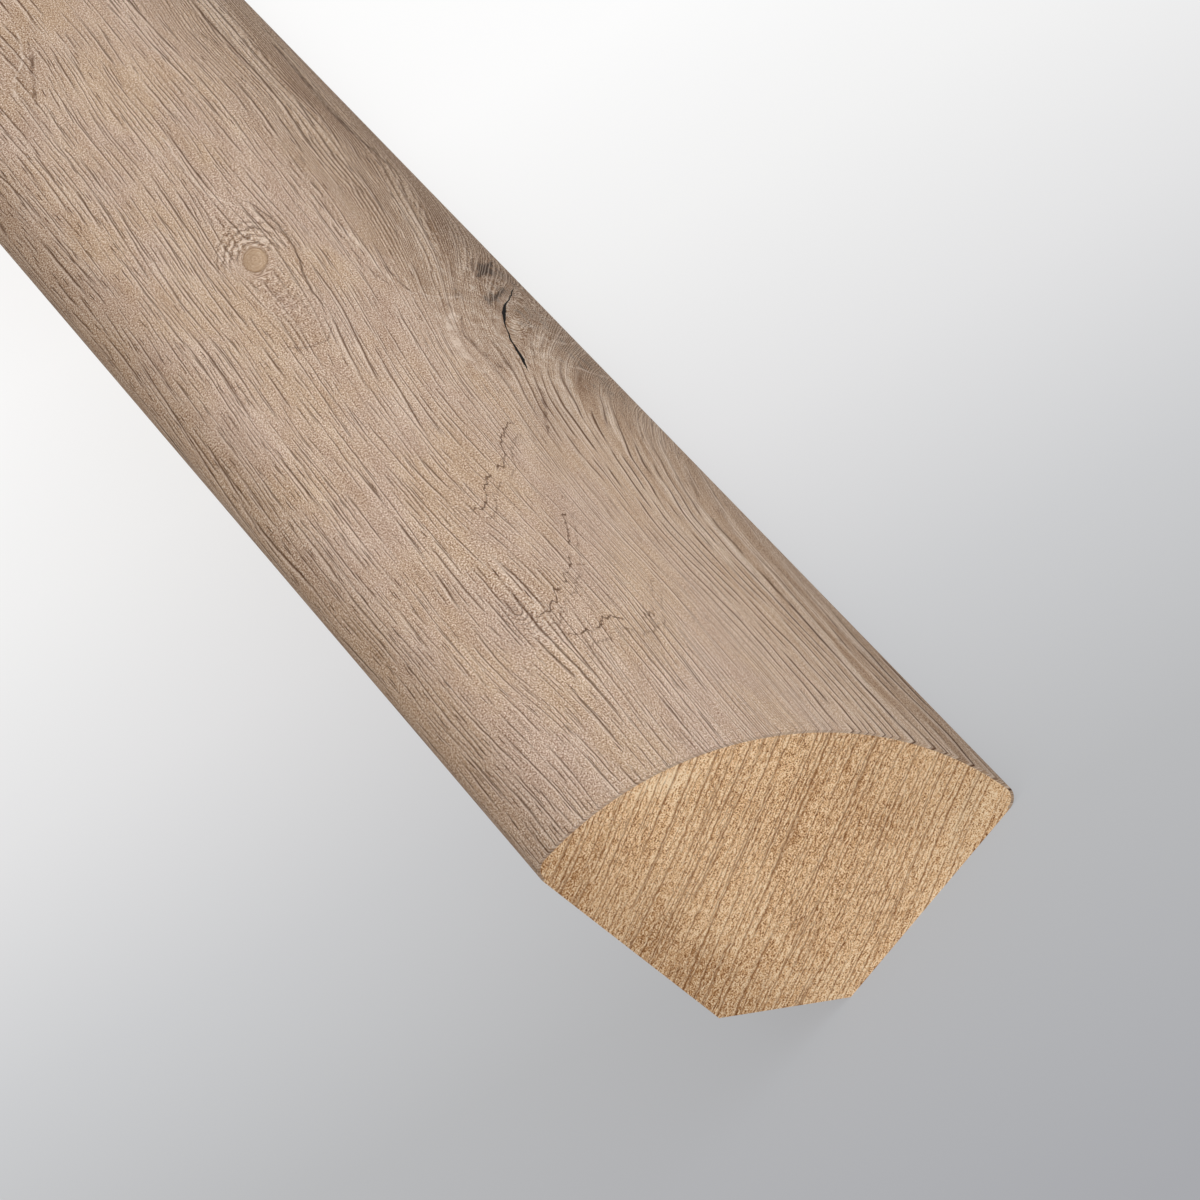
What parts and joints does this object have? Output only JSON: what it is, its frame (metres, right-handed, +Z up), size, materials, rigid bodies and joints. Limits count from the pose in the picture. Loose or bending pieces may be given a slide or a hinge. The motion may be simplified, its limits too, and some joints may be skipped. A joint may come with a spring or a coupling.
{
  "type": "quarter round moulding",
  "caption": "Long quarter round floor moulding: a wood core with an oak-print foil over its round face, flats at right angles and a bevelled back corner, to cover the floor-to-wall gap.",
  "frame": {"origin": "on the floor, under the middle of the section and of the length", "axes": "+X out from the wall into the room, +Y along the stock, +Z up from the floor; the wall flat lies at -X and the floor flat at Z 0"},
  "size_m": [0.019, 2.3876, 0.019],
  "materials": {
    "wood_core": "bare tan wood, sawn at the ends",
    "decor_foil": "matt foil printed and embossed as limed oak"
  },
  "bodies": {
    "root": {"wood_core": "wood_core", "decor_foil": "decor_foil"}
  },
  "joints": []
}
